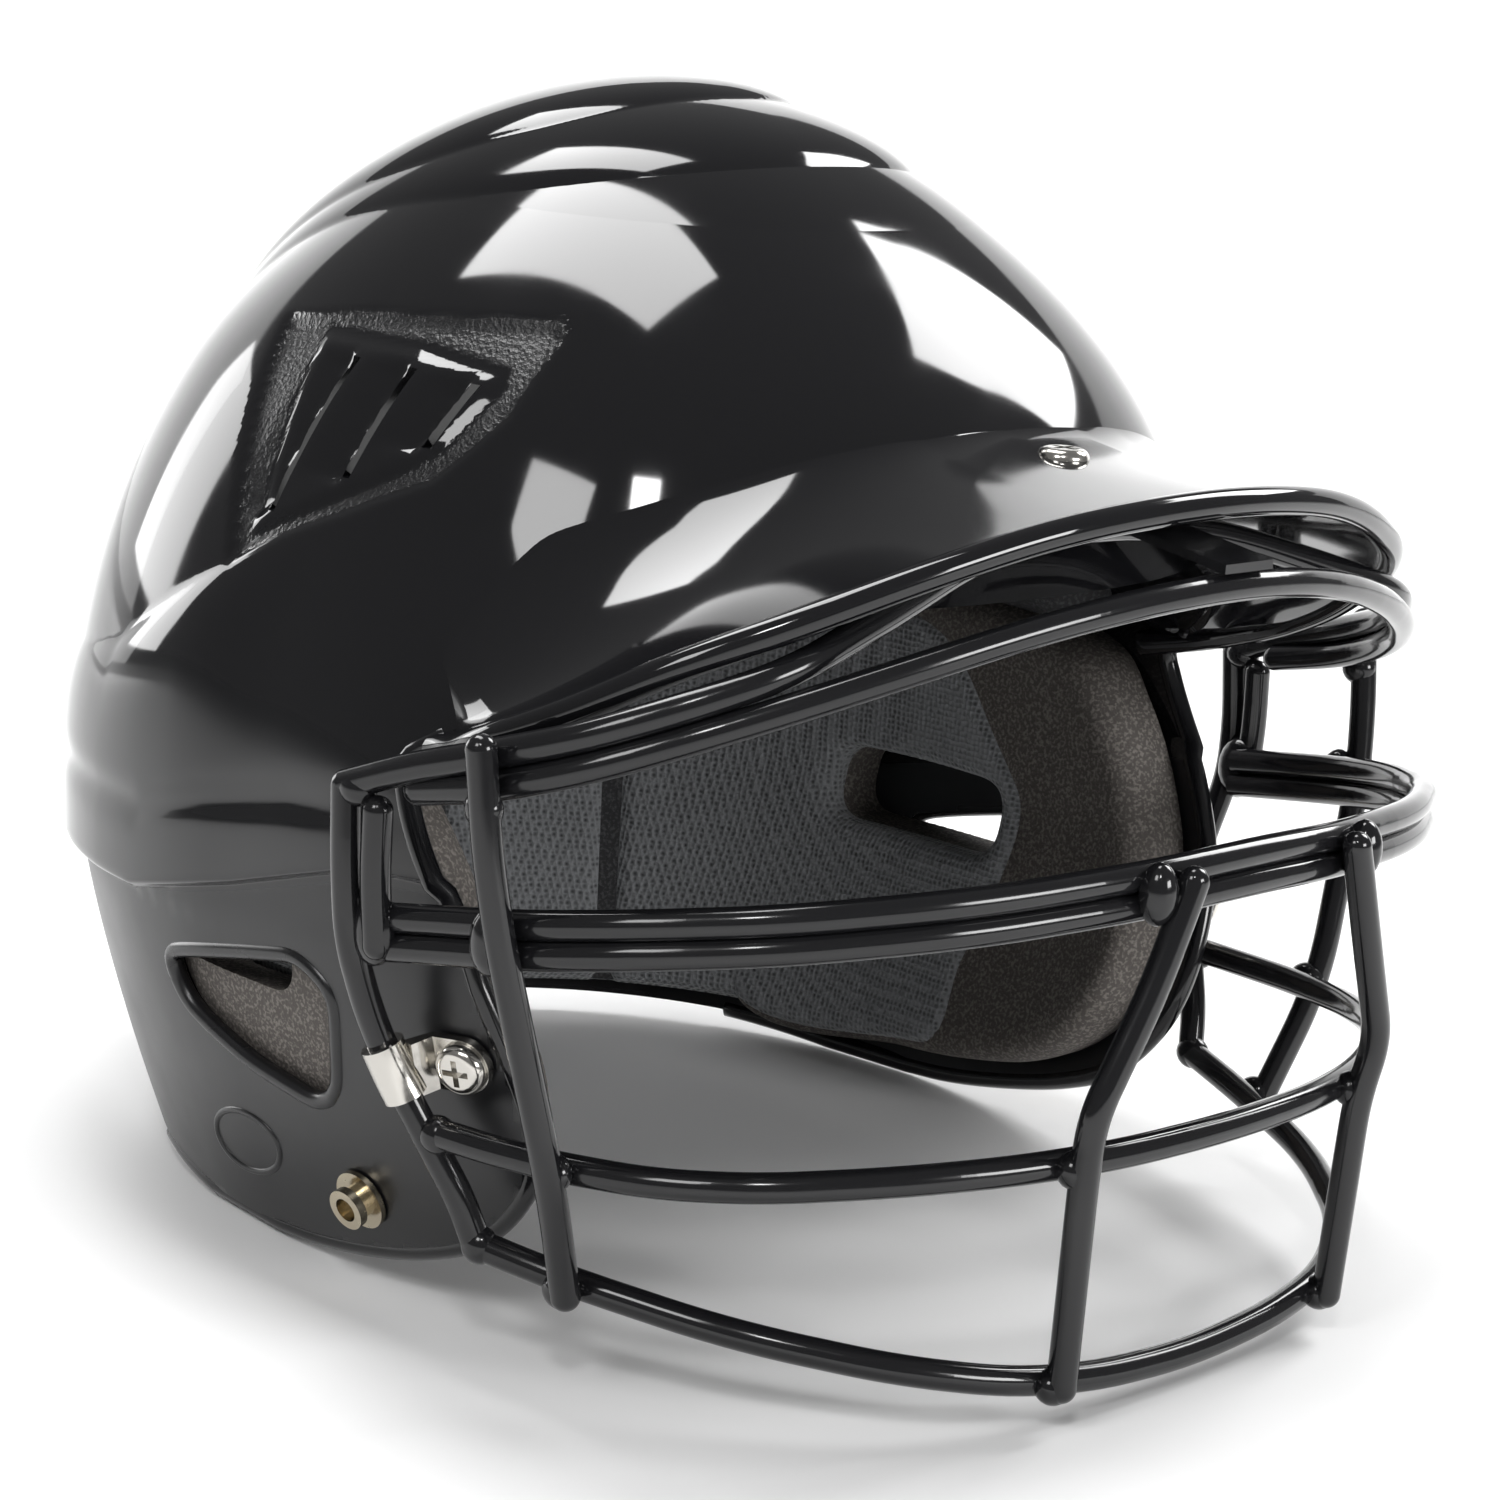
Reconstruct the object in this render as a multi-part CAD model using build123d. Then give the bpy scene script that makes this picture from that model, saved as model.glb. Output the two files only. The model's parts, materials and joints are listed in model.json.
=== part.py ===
from build123d import *
import math
import os

# Batting helmet with a welded wire face guard. Millimetres. +Z is up, the face looks along -Y and
# the wearer's left is +X. Z = 0 is the surface that the chin wire and the shell's rim stand on.

# ---- driving dimensions: shell ----
HALF_WIDTH = 107.0
FRONT_REACH = 106.0
REAR_REACH = 115.0
DOME_RISE = 133.5
WIDEST_Z = 74.5
CENTRE_Y = 20.0
WALL = 3.2
LEDGE_Z = 64.0
LEDGE_FACTOR = 0.985
SKIRT_TAPER = 0.15
SKIRT_DEPTH = 58.0
SKIRT_POWER = 1.3
FRONT_POWER_TOP = 2.3
FRONT_POWER_GAIN = 1.3
FRONT_POWER_Z = 138.0
FRONT_POWER_SPAN = 45.0
REAR_POWER = 2.05
RING_POINTS = 32
RIM_DROP = 6.0

# ---- driving dimensions: bill ----
BILL_THICKNESS = 3.0
LIP_RADIUS = 2.6
BILL_SCREW_Y = -77.0
BILL_SCREW_Z = 151.8
BOSS_RADIUS = 6.0
BOSS_THICKNESS = 3.9

# ---- driving dimensions: guard wire and hardware ----
WIRE_RADIUS = 2.6
WELD_BITE = 0.15
SCREW_RADIUS = 2.0
RUNNING_GAP = 0.05
HEAD_RADIUS = 4.6
HEAD_HEIGHT = 2.6
RECESS_LENGTH = 5.0
RECESS_WIDTH = 1.1
RECESS_DEPTH = 1.4
CLIP_THICKNESS = 1.2
CLIP_WIDTH = 10.0
CLIP_SCREW_Y = -41.5
CLIP_SCREW_Z = 50.0
CLIP_BEND = 4
SNAP_Y = -9.7
SNAP_Z = 15.0

# ---- driving dimensions: liner ----
LINER_GAP = 0.3
LINER_THICKNESS = 12.0
EAR_PAD_THICKNESS = 14.0
FABRIC_THICKNESS = 1.2

SIDES = (("left", 1), ("right", -1))
UP = (Align.CENTER, Align.CENTER, Align.MIN)
DOWN = (Align.CENTER, Align.CENTER, Align.MAX)


def section_factor(z):
    """Share of the widest section that the outer surface has at height z."""
    if z >= WIDEST_Z:
        return math.sqrt(max(1 - ((z - WIDEST_Z) / DOME_RISE) ** 2, 0.0))
    if z >= LEDGE_Z:
        return 1.0
    return LEDGE_FACTOR - SKIRT_TAPER * ((LEDGE_Z - z) / SKIRT_DEPTH) ** SKIRT_POWER


def front_power(z):
    """Superellipse power of the front half, squarer at the ear flaps than on the dome."""
    share = min(max((FRONT_POWER_Z - z) / FRONT_POWER_SPAN, 0.0), 1.0)
    return FRONT_POWER_TOP + FRONT_POWER_GAIN * share * share * (3 - 2 * share)


def surface_x(y, z, inset=0.0):
    """Half width of the shell's outer surface, moved in by inset, at y and z."""
    factor = section_factor(z)
    if y < CENTRE_Y:
        reach, power = FRONT_REACH, front_power(z)
    else:
        reach, power = REAR_REACH, REAR_POWER
    share = abs(y - CENTRE_Y) / (reach * factor - inset)
    return (HALF_WIDTH * factor - inset) * (1 - share ** power) ** (1 / power)


def surface_y(x, z, inset=0.0):
    """Front surface's y, moved in by inset, at half width x and height z."""
    factor = section_factor(z)
    power = front_power(z)
    share = abs(x) / (HALF_WIDTH * factor - inset)
    return CENTRE_Y - (FRONT_REACH * factor - inset) * (1 - share ** power) ** (1 / power)


def surface_normal(y, z, side):
    """Outward unit normal of the ear flap at y and z."""
    step = 1.0
    slope_y = (surface_x(y + step, z) - surface_x(y - step, z)) / (2 * step)
    slope_z = (surface_x(y, z + step) - surface_x(y, z - step)) / (2 * step)
    return Vector(side, -slope_y, -slope_z).normalized()


def ring(z, factor, inset):
    """Closed horizontal section of the shell, as a face."""
    width = HALF_WIDTH * factor - inset
    points = []
    for index in range(RING_POINTS):
        angle = 2 * math.pi * index / RING_POINTS
        across, along = math.cos(angle), math.sin(angle)
        if along < 0:
            reach, power = FRONT_REACH * factor - inset, front_power(z)
        else:
            reach, power = REAR_REACH * factor - inset, REAR_POWER
        x = math.copysign(abs(across) ** (2 / power), across) * width
        y = CENTRE_Y + math.copysign(abs(along) ** (2 / power), along) * reach
        points.append((x, y, z))
    return make_face(Wire([Spline(*points, periodic=True)]))


def dome_solid(inset):
    """Everything inside the upper surface, moved in by inset, from below the ledge to the crown."""
    rise = DOME_RISE - inset
    heights = [40, 58, WIDEST_Z]
    heights += [WIDEST_Z + rise * share for share in (0.2, 0.38, 0.54, 0.68, 0.79, 0.88, 0.945, 0.985)]
    sections = []
    for z in heights:
        factor = math.sqrt(1 - max((z - WIDEST_Z) / rise, 0.0) ** 2)
        sections.append(ring(z, factor, inset * factor))
    return loft(sections + [Vertex(0, CENTRE_Y, WIDEST_Z + rise)])


def skirt_solid(inset):
    """Everything inside the lower surface, from below the rim to above the ledge."""
    heights = [-RIM_DROP, 8, 22, 36, 50, LEDGE_Z]
    sections = [ring(z, section_factor(z - 0.001), inset) for z in heights]
    sections.append(ring(LEDGE_Z + 20, LEDGE_FACTOR, inset))
    sections.append(ring(LEDGE_Z + 40, LEDGE_FACTOR, inset))
    return loft(sections)


def side_prism(outline, half_width=200.0):
    """Prism across the whole helmet from an outline given as (y, z) points."""
    face = make_face(Polyline(*[(0, y, z) for y, z in outline], close=True))
    return extrude(face, amount=half_width, dir=(1, 0, 0), both=True)


# Side-view outlines as (y, z). The ledge rises towards the face.
LEDGE_LINE = [(-120, 84), (-20, 78.5), (14, 68), (46, 60), (150, 56)]
FLAP_FRONT = [(-26, 99), (-27.5, 93), (-31, 86), (-38, 75), (-44, 62), (-48, 49), (-49, 38)]
FLAP_CORNER = [(-47, 29), (-41, 20), (-33, 13), (-22, 8), (-8, 4), (8, 1)]
RIM_LINE = [(20, 0), (42, 0), (66, 2), (100, 3), (160, 3)]
BROW_LINE = [(-160, 128), (-62, 128), (-50, 120), (-42, 111), (-34, 104.5)]


def build_cutter():
    """The face opening and all that lies below the rim."""
    outline = BROW_LINE + FLAP_FRONT + FLAP_CORNER + RIM_LINE
    outline += [(160, -30), (-160, -30)]
    return side_prism(outline)


EAR_CORNERS = [(38, 50), (-3, 60), (-12, 55), (-9, 36), (-3, 31), (16, 34), (34, 41)]
EAR_ROUND = 3.0


def ear_opening():
    """Prism of the ear opening through both flaps."""
    face = make_face(Polyline(*[(0, y, z) for y, z in EAR_CORNERS], close=True))
    face = fillet(face.vertices(), radius=EAR_ROUND)
    return extrude(face, amount=200, dir=(1, 0, 0), both=True)


# Vent slots behind the three louvres of each side vent, as the (y, z) of the top and the bottom.
VENT_SLOTS = [((16, 160), (20, 133)), ((2, 160), (5, 141)), ((-12, 159), (-9, 148))]
VENT_SLOT_WIDTH = 3.0


def vent_slots():
    """Prisms of the slots that pass through the shell behind the louvres."""
    cutters = []
    for (top_y, top_z), (low_y, low_z) in VENT_SLOTS:
        corners = [(top_y, top_z), (top_y + VENT_SLOT_WIDTH, top_z)]
        corners += [(low_y + VENT_SLOT_WIDTH, low_z), (low_y, low_z)]
        cutters.append(side_prism(corners))
    return cutters


# Half of the bill's lip from the centre to the temple, as (x, y, z).
LIP_HALF = [(0, -112.3, 150.5), (25, -110.3, 149), (42, -107, 146.2), (60, -101.4, 141), (80, -92, 133)]
LIP_HALF += [(94, -80, 125), (103, -64, 115), (106.5, -49, 108), (107, -36, 103.5), (104.5, -22, 100)]
ROOT_SHARE = [0, 0.82, 0.82, 0.82, 0.83, 0.85, 0.89, 0.92, 0.95, 0.97]
ROOT_RISE = -0.5


def mirrored(half):
    """Whole symmetric point list from its half, wearer's right to wearer's left."""
    right = [(-x, y, z) for x, y, z in reversed(half) if x > 0]
    return right + list(half)


def bill_station(lip, share):
    """Upright section of the bill between its root inside the shell wall and its lip."""
    x, y, z = lip
    root_z = z + ROOT_RISE
    root_x = x * share
    root_y = surface_y(root_x, root_z, WALL / 2)
    half = BILL_THICKNESS / 2
    corners = [(root_x, root_y, root_z + half), (x, y, z + half), (x, y, z - half)]
    corners.append((root_x, root_y, root_z - half))
    return Wire(Polyline(*corners, close=True).edges())


def bill_solid():
    """The bill's plate with its rolled lip."""
    shares = list(reversed(ROOT_SHARE[1:])) + ROOT_SHARE
    wires = [bill_station(lip, share) for lip, share in zip(mirrored(LIP_HALF), shares)]
    return Solid.make_loft(wires, ruled=True) + tube(mirrored(LIP_HALF), LIP_RADIUS)


def bend_radii(points):
    """A tangent arc's radius at each corner of a route, as large as its two runs allow."""
    radii = []
    for before, here, after in zip(points, points[1:], points[2:]):
        first = Vector(*here) - Vector(*before)
        second = Vector(*after) - Vector(*here)
        half_turn = math.radians(first.get_angle(second)) / 2
        radii.append(0.45 * min(first.length, second.length) / math.tan(half_turn))
    return radii


def tube(points, radius):
    """Round rod along straight runs joined by tangent arcs."""
    path = FilletPolyline(*points, radius=bend_radii(points))
    start = Plane(origin=path @ 0, z_dir=path % 0)
    return sweep(start * Circle(radius), path=path)


def wire_with_round_ends(points):
    """Coated wire whose two ends are rounded."""
    rod = tube(points, WIRE_RADIUS)
    for end in (points[0], points[-1]):
        rod = rod + Pos(*end) * Sphere(WIRE_RADIUS)
    return rod


# Guard wires, half of each symmetric one from the centre outwards, as (x, y, z).
BROW_LOWER_HALF = [(0, -116.9, 137.4), (22, -115.2, 136), (42, -111, 132.6), (62, -104.5, 127.2)]
BROW_LOWER_HALF += [(82, -95, 120.3), (97, -85, 114.2), (107, -74, 108.6), (113, -60, 103.4)]
BROW_LOWER_HALF += [(114.5, -44, 99.6)]
BROW_UPPER_HALF = [(0, -84, 142), (30, -86, 139.6), (58, -91, 132.2), (82, -93, 125.4), (97, -84.4, 119.4)]
BROW_UPPER_HALF += [(107, -73.6, 113.8), (113, -59.4, 108.6), (116.4, -44, 103.6), (118.6, -30.6, 98)]
EYE_HALF = [(0, -127.4, 91.4), (26, -125.6, 90.4), (60, -117, 88.2), (88, -101, 85.4)]
EYE_HALF += [(103, -83, 82.4), (110.6, -65, 79), (113, -48, 76), (114.6, -37, 74)]
CHEEK_HALF = [(0, -126.6, 44.6), (26, -124.8, 44.4), (46, -120, 44), (66, -111, 43.2), (84, -97.5, 41.6)]
CHEEK_HALF += [(94, -83.5, 40.2), (100, -66, 39.2), (102.4, -52, 38.6), (103.4, -42.6, 38.4)]
CHIN_HALF = [(0, -123.9, WIRE_RADIUS), (25, -123.2, 4), (44, -120.2, 6.4), (62, -110.5, 9.6)]
CHIN_HALF += [(80, -89.5, 13), (92, -62, 16.4), (97.5, -45.6, 18.8)]
SIDE_HALF = [(118.6, -30.6, 98), (119, -32, 84), (118, -32.6, 72), (112.6, -32, 59), (107.2, -32.6, 48)]
SIDE_HALF += [(103.6, -38.4, 37), (100, -43.4, 27), (97.5, -45.6, 18.8)]
CORNER_STRUT_HALF = [(117.6, -37.6, 95), (117.8, -38, 84), (116.6, -38.2, 72.4)]
OUTER_BAR_HALF = [(118, -62, 110.6), (117.6, -64.4, 94.3), (115.4, -66.6, 78.8), (104.6, -70, 38.6)]
OUTER_BAR_HALF += [(95.6, -66, 15.6)]
CENTRE_BAR_HALF = [(22.6, -131.2, 92.6), (29.6, -130.6, 75), (39.7, -128.6, 54.4), (38.2, -126.8, 43)]
CENTRE_BAR_HALF += [(37.2, -125.6, 5.6)]


def lifted(points, rise):
    return [(x, y, z + rise) for x, y, z in points]


def on_side(points, side):
    return [(side * x, y, z) for x, y, z in points]


def flap_plane(y, z, side):
    """Plane on the ear flap's outer surface, its z outwards and its x towards the rear."""
    origin = Vector(side * surface_x(y, z), y, z)
    normal = surface_normal(y, z, side)
    along = Vector(0, 1, 0)
    rearward = (along - normal * along.dot(normal)).normalized()
    return Plane(origin=origin, x_dir=rearward, z_dir=normal)


def screw(length):
    """Pan-head machine screw with a cross recess; its head stands on z = 0."""
    head = Cylinder(HEAD_RADIUS, HEAD_HEIGHT, align=UP)
    head = fillet(head.edges().sort_by(Axis.Z)[-1:], radius=HEAD_HEIGHT * 0.7)
    slot_z = HEAD_HEIGHT - RECESS_DEPTH
    for length_x, length_y in ((RECESS_LENGTH, RECESS_WIDTH), (RECESS_WIDTH, RECESS_LENGTH)):
        cutter = Box(length_x, length_y, HEAD_HEIGHT, align=UP)
        head = head - Pos(0, 0, slot_z) * cutter
    shank = Cylinder(SCREW_RADIUS, length, align=DOWN)
    return head + shank


def tube_nut(barrel_radius, barrel_length, flange_radius, flange_thickness):
    """Flanged nut whose barrel points along +z from its flange's face at z = 0."""
    body = Cylinder(flange_radius, flange_thickness, align=DOWN)
    body += Cylinder(barrel_radius, barrel_length, align=UP)
    return body - Cylinder(SCREW_RADIUS + RUNNING_GAP, 60)


CLIP_NUT_BARREL = 3.2
CLIP_NUT_FLANGE = 6.0
CLIP_NUT_FLANGE_THICKNESS = 1.4
CLIP_NUT_BARREL_LENGTH = 3.0
CLIP_TAB_THICKNESS = 1.6
CLIP_LIFT = 0.35
CLIP_SCREW_LENGTH = 7.5
CLIP_TOP = CLIP_LIFT + CLIP_TAB_THICKNESS
# Side view of the clip's tab, from its flat part up to the loop, as (rearward, outward).
CLIP_PROFILE = [(0, CLIP_LIFT), (0, CLIP_TOP), (5.3, CLIP_TOP), (7.2, 5.6), (9.6, 4.6), (6.2, CLIP_LIFT)]
CLIP_SEAT = CLIP_LIFT + CLIP_TAB_THICKNESS + RUNNING_GAP
POCKET_MARGIN = 0.6
POCKET_DEPTH = 9.0


def guard_clip(place, side):
    """P-shaped clip: a loop round the side wire and a flat tab under the screw."""
    outline = make_face(Polyline(*[(x, 0, z) for x, z in CLIP_PROFILE], close=True))
    tab = extrude(outline, amount=CLIP_WIDTH / 2, dir=(0, 1, 0), both=True)
    tab += Pos(0, 0, CLIP_LIFT) * Cylinder(CLIP_WIDTH / 2, CLIP_TAB_THICKNESS, align=UP)
    route = on_side(SIDE_HALF, side)
    upper, lower = Vector(*route[CLIP_BEND - 1]), Vector(*route[CLIP_BEND + 1])
    slab = Plane(origin=route[CLIP_BEND], z_dir=lower - upper) * Box(40, 40, CLIP_WIDTH)
    clip = place * tab + (tube(route, WIRE_RADIUS + CLIP_THICKNESS) & slab)
    clip -= tube(route, WIRE_RADIUS + RUNNING_GAP)
    return clip - place * Cylinder(SCREW_RADIUS + RUNNING_GAP, 40)


SNAP_FLANGE = 5.6
SNAP_NECK = 3.1
SNAP_TOP = 3.9
SNAP_BORE = 2.3
SNAP_POST = 1.8
SNAP_LEVELS = (0.35, 1.35, 3.1, 4.7)


def snap_stud(place):
    """Hollow stud of the chin-strap snap: flange, neck, bead and the post through the flap."""
    flange_z, neck_z, bead_z, top_z = SNAP_LEVELS
    stud = Pos(0, 0, flange_z) * Cylinder(SNAP_FLANGE, neck_z - flange_z, align=UP)
    stud += Pos(0, 0, neck_z) * Cylinder(SNAP_NECK, bead_z - neck_z, align=UP)
    stud += Pos(0, 0, bead_z) * Cylinder(SNAP_TOP, top_z - bead_z, align=UP)
    stud -= Pos(0, 0, neck_z) * Cylinder(SNAP_BORE, top_z, align=UP)
    stud += Pos(0, 0, flange_z) * Cylinder(SNAP_POST, WALL + flange_z, align=DOWN)
    return place * stud


SNAP_BACK_RADIUS = 5.0
SNAP_BACK_THICKNESS = 1.0
SEAT_MARGIN = 0.2
SEAT_DEPTH = 4.0


def snap_back(place):
    """Rivet cap inside the flap that the snap's post is closed on."""
    return place * Pos(0, 0, -WALL) * Cylinder(SNAP_BACK_RADIUS, SNAP_BACK_THICKNESS, align=DOWN)


def spot_face(place, radius):
    """Flat seat inside the flap for a flange of that radius."""
    return place * Pos(0, 0, -WALL) * Cylinder(radius + SEAT_MARGIN, SEAT_DEPTH, align=DOWN)


def shell_solid(flap_places, snap_places):
    """The one-piece moulded shell: dome, skirt with ear flaps, and bill."""
    above = side_prism(LEDGE_LINE + [(150, 260), (-120, 260)])
    below = side_prism(LEDGE_LINE + [(150, -40), (-120, -40)])
    dome = (dome_solid(0) - dome_solid(WALL)) & above
    skirt = (skirt_solid(0) - skirt_solid(WALL)) & below
    shell = dome + skirt - build_cutter() - ear_opening()
    shell = shell + bill_solid()
    for slot in vent_slots():
        shell = shell - slot
    for place in flap_places:
        shell = shell - place * Cylinder(CLIP_NUT_BARREL + RUNNING_GAP, 20)
        shell = shell - spot_face(place, CLIP_NUT_FLANGE)
    for place in snap_places:
        shell = shell - place * Cylinder(SNAP_POST + RUNNING_GAP, 20)
        shell = shell - spot_face(place, SNAP_BACK_RADIUS)
    screw_place = Pos(0, BILL_SCREW_Y, BILL_SCREW_Z)
    shell = shell + screw_place * Cylinder(BOSS_RADIUS, BOSS_THICKNESS, align=DOWN)
    return shell - screw_place * Cylinder(SCREW_RADIUS + RUNNING_GAP, 30)


# ---- liner ----
EAR_PAD_OUTLINE = [(58, 98), (-17, 98), (-26, 86), (-33, 75), (-39, 62), (-43, 49), (-43, 38)]
EAR_PAD_OUTLINE += [(-40, 29), (-33, 20), (-22, 13), (-8, 9), (14, 6), (58, 7)]
FABRIC_OUTLINE = [(58, 96), (24, 96), (5, 76), (-5, 62), (-3, 45), (2, 26), (1, 10), (14, 8), (58, 9)]
PAD_HOLE_CENTRE = (25, 57.5)
PAD_HOLE_SIZE = (44, 16)
PAD_HOLE_ROUND = 7.0


def pad_hole():
    """Prism of the hole in the ear pads, behind the upper part of the shell's ear opening."""
    centre_y, centre_z = PAD_HOLE_CENTRE
    outline = Plane.YZ * Pos(centre_y, centre_z) * RectangleRounded(*PAD_HOLE_SIZE, PAD_HOLE_ROUND)
    return extrude(outline, amount=200, dir=(1, 0, 0), both=True)


def half_space(side):
    return Pos(side * 101, 0, 100) * Box(200, 600, 600)


def layer(solid, inset, thickness):
    return solid(inset) - solid(inset + thickness)


def side_layer(inset, thickness, outline, side):
    """Curved sheet inside the skirt within a side-view outline, on one side, round the ear hole."""
    sheet = layer(skirt_solid, inset, thickness)
    return sheet & side_prism(outline) & half_space(side) - pad_hole()


def band(y_range, z_range):
    """Outline of an upright rectangle in side view."""
    (y0, y1), (z0, z1) = y_range, z_range
    return [(y0, z0), (y1, z0), (y1, z1), (y0, z1)]


def liner_solids(pockets):
    """Every foam pad and fabric facing, by node name."""
    inset = WALL + LINER_GAP
    face_inset = inset + EAR_PAD_THICKNESS
    solids = {}
    for name, side in SIDES:
        pad = side_layer(inset, EAR_PAD_THICKNESS, EAR_PAD_OUTLINE, side)
        for pocket in pockets:
            pad = pad - pocket
        solids["ear_pad_" + name] = pad
        solids["side_fabric_" + name] = side_layer(face_inset, FABRIC_THICKNESS, FABRIC_OUTLINE, side)
        upper = layer(dome_solid, inset, LINER_THICKNESS) & side_prism(band((-12, 58), (101, 127)))
        solids["upper_side_pad_" + name] = upper & half_space(side)
    rear = side_prism(band((65, 150), (6, 100)))
    solids["rear_pad"] = layer(skirt_solid, inset, EAR_PAD_THICKNESS) & rear
    rear_face = side_prism(band((65, 150), (8, 98)))
    solids["rear_fabric"] = layer(skirt_solid, face_inset, FABRIC_THICKNESS) & rear_face
    dome_layer = layer(dome_solid, inset, LINER_THICKNESS)
    solids["upper_rear_pad"] = dome_layer & side_prism(band((62, 150), (103, 158)))
    front = side_prism(band((-120, -26), (131, 158)))
    solids["front_pad"] = dome_layer & front
    solids["crown_pad"] = dome_layer & side_prism(band((-120, 150), (176, 230)))
    return solids


# ---- bill hardware ----
STRAP_WIDTH = 13.0
STRAP_THICKNESS = 1.6
STRAP_LEVEL = 144.7
STRAP_LOWER = [(-71.8, STRAP_LEVEL), (-87, STRAP_LEVEL), (-119, 140.1)]
SPACER_RADIUS = 5.0
NUT_FLATS = 7.0
NUT_HEIGHT = 4.2


def bill_hardware():
    """Strap on the two brow wires, spacer under the bill and lock nut, by node name."""
    upper = [(y, z + STRAP_THICKNESS) for y, z in reversed(STRAP_LOWER)]
    outline = make_face(Polyline(*[(0, y, z) for y, z in STRAP_LOWER + upper], close=True))
    hole = Pos(0, BILL_SCREW_Y, BILL_SCREW_Z) * Cylinder(SCREW_RADIUS + RUNNING_GAP, 40)
    strap = extrude(outline, amount=STRAP_WIDTH / 2, dir=(1, 0, 0), both=True) - hole
    spacer_z = STRAP_LEVEL + STRAP_THICKNESS
    under_bill = BILL_SCREW_Z - BOSS_THICKNESS
    spacer = Pos(0, BILL_SCREW_Y, spacer_z) * Cylinder(SPACER_RADIUS, under_bill - spacer_z, align=UP)
    hexagon = RegularPolygon(NUT_FLATS / 2, 6, major_radius=False)
    nut = extrude(Pos(0, BILL_SCREW_Y, STRAP_LEVEL) * hexagon, amount=-NUT_HEIGHT)
    return {"bill_strap": strap, "bill_spacer": spacer - hole, "bill_nut": nut - hole}


BILL_SCREW_LENGTH = 13.0


def guard_solids():
    """Every coated wire of the guard, by node name."""
    half_wire = WIRE_RADIUS - WELD_BITE
    wires = {"brow_lower_wire": wire_with_round_ends(mirrored(BROW_LOWER_HALF))}
    wires["brow_upper_wire"] = wire_with_round_ends(mirrored(BROW_UPPER_HALF))
    wires["eye_upper_wire"] = tube(mirrored(lifted(EYE_HALF, half_wire)), WIRE_RADIUS)
    wires["eye_lower_wire"] = tube(mirrored(lifted(EYE_HALF, -half_wire)), WIRE_RADIUS)
    wires["cheek_wire"] = tube(mirrored(CHEEK_HALF), WIRE_RADIUS)
    wires["chin_wire"] = wire_with_round_ends(mirrored(CHIN_HALF))
    for name, side in SIDES:
        wires["side_wire_" + name] = tube(on_side(SIDE_HALF, side), WIRE_RADIUS)
        wires["corner_strut_" + name] = wire_with_round_ends(on_side(CORNER_STRUT_HALF, side))
        wires["outer_bar_" + name] = wire_with_round_ends(on_side(OUTER_BAR_HALF, side))
        wires["centre_bar_" + name] = wire_with_round_ends(on_side(CENTRE_BAR_HALF, side))
    return wires


def flap_hardware(name, side):
    """Clip, its screw and nut, and the snap of one ear flap, by node name."""
    place = flap_plane(CLIP_SCREW_Y, CLIP_SCREW_Z, side)
    snap_place = flap_plane(SNAP_Y, SNAP_Z, side)
    nut = Pos(0, 0, -WALL) * tube_nut(
        CLIP_NUT_BARREL, CLIP_NUT_BARREL_LENGTH, CLIP_NUT_FLANGE, CLIP_NUT_FLANGE_THICKNESS
    )
    solids = {"guard_clip_" + name: guard_clip(place, side)}
    solids["clip_screw_" + name] = place * Pos(0, 0, CLIP_SEAT) * screw(CLIP_SCREW_LENGTH)
    solids["clip_nut_" + name] = place * nut
    solids["snap_stud_" + name] = snap_stud(snap_place)
    solids["snap_back_" + name] = snap_back(snap_place)
    pockets = [place * Cylinder(CLIP_NUT_FLANGE + POCKET_MARGIN, POCKET_DEPTH, align=DOWN)]
    pockets.append(snap_place * Cylinder(SNAP_BACK_RADIUS + POCKET_MARGIN, POCKET_DEPTH, align=DOWN))
    return solids, place, snap_place, pockets


def build():
    """Make every node and write it to its own file."""
    solids = guard_solids()
    solids.update(bill_hardware())
    screw_place = Pos(0, BILL_SCREW_Y, BILL_SCREW_Z + RUNNING_GAP)
    solids["bill_screw"] = screw_place * screw(BILL_SCREW_LENGTH)
    flap_places, snap_places, pockets = [], [], []
    for name, side in SIDES:
        flap, place, snap_place, flap_pockets = flap_hardware(name, side)
        solids.update(flap)
        flap_places.append(place)
        snap_places.append(snap_place)
        pockets += flap_pockets
    solids.update(liner_solids(pockets))
    solids["shell"] = shell_solid(flap_places, snap_places)
    os.makedirs("parts", exist_ok=True)
    for name, shape in solids.items():
        export_step(shape, os.path.join("parts", name + ".step"))


build()
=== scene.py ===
import json
import math

import bmesh
import bpy
import numpy as np
from mathutils import Matrix, Vector


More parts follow.
